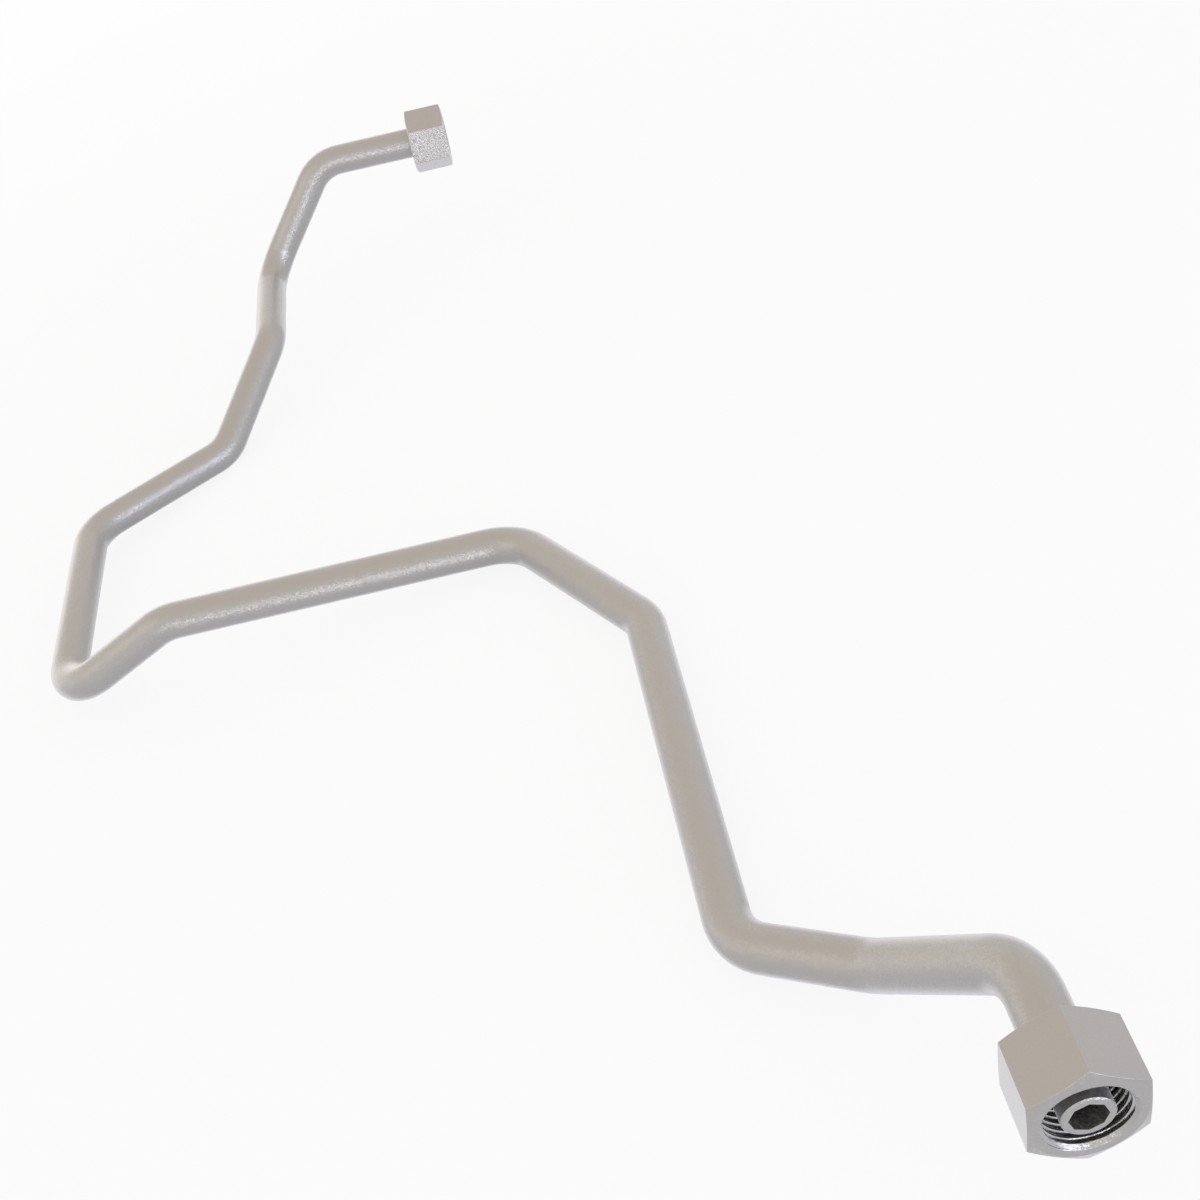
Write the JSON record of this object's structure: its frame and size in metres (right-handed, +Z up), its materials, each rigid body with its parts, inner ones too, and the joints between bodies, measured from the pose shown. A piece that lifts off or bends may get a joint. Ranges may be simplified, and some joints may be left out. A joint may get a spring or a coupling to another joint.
{
  "type": "air conditioning pipe assembly",
  "caption": "Rigid bent aluminium refrigerant pipe with a swivel hex nut and an O-ring pilot at each end, lying as it comes to rest.",
  "frame": {"origin": "on the surface that the pipe lies on, under the middle of its box", "axes": "+X along the pipe's parallel legs, from the front nut to the rear end; +Z up as the pipe lies"},
  "size_m": [0.5639, 0.2836, 0.0651],
  "materials": {
    "pipe_aluminium": "satin, lightly tumbled",
    "nut_aluminium": "satin, milled flats and turned faces",
    "seal_rubber": "smooth moulded"
  },
  "bodies": {
    "pipe": {"pipe": "pipe_aluminium", "front_o_ring": "seal_rubber", "rear_o_ring": "seal_rubber"},
    "front_nut": {"front_nut": "nut_aluminium"},
    "rear_nut": {"rear_nut": "nut_aluminium"}
  },
  "joints": [
    {"name": "front_nut_swivel", "type": "hinge", "parent": "pipe", "child": "front_nut", "pos_m": [-0.27415, -0.12839, 0.04066], "axis": [-1, 0, 0], "continuous": true},
    {"name": "rear_nut_swivel", "type": "hinge", "parent": "pipe", "child": "rear_nut", "pos_m": [0.26855, -0.03741, 0.05033], "axis": [0, -0.9853, -0.1706], "continuous": true}
  ]
}
